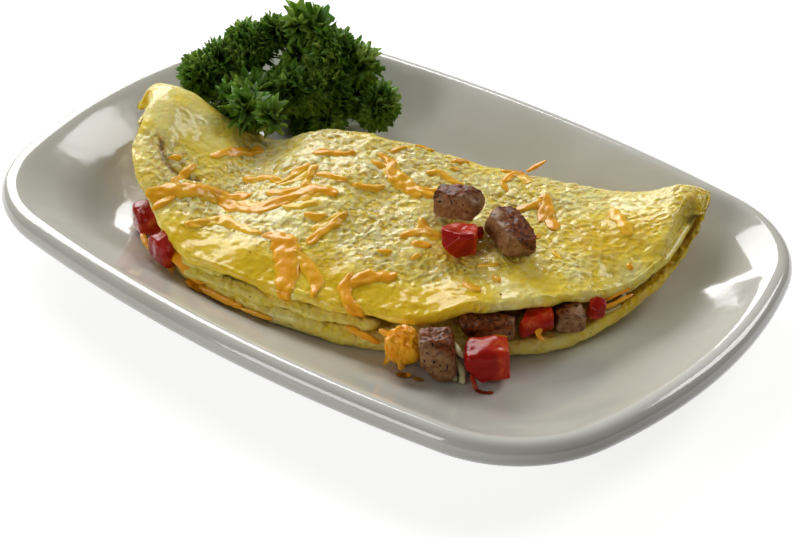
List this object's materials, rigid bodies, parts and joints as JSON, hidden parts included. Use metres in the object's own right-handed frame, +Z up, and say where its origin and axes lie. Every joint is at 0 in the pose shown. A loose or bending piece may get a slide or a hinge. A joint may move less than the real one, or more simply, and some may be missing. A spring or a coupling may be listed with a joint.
{
  "type": "plated omelette",
  "caption": "Folded omelette with cheese, sausage and tomato on a white rounded-rectangular porcelain plate, with a bunch of curly parsley",
  "frame": {"origin": "the middle of the plate's underside, on the surface it stands on", "axes": "+X runs along the plate's long side towards the end the omelette's right tip points to; +Y runs towards the long side that the fold and the parsley lie near; +Z is up"},
  "size_m": [0.2788, 0.1936, 0.0601],
  "materials": {
    "porcelain": "gloss white glaze",
    "cooked_egg": "moist pale yellow cooked egg, pitted by steam bubbles",
    "filling_mix": "moist mix of melted cheese, sausage and tomato",
    "cheddar": "melted orange cheese",
    "sausage": "cooked pork sausage, browned outside and grey-pink where cut",
    "tomato": "wet diced red tomato",
    "parsley": "fresh curly parsley leaf"
  },
  "bodies": {
    "root": {"plate": "porcelain", "egg": "cooked_egg", "filling": "filling_mix", "top_sausage_a": "sausage", "top_sausage_b": "sausage", "top_tomato_a": "tomato", "top_tomato_b": "tomato", "cheese_front": "cheddar", "sausage_front_a": "sausage", "sausage_front_b": "sausage", "sausage_front_c": "sausage", "tomato_front_a": "tomato", "tomato_front_b": "tomato", "tomato_front_c": "tomato", "tomato_left_a": "tomato", "tomato_left_b": "tomato", "parsley": "parsley"}
  },
  "joints": []
}
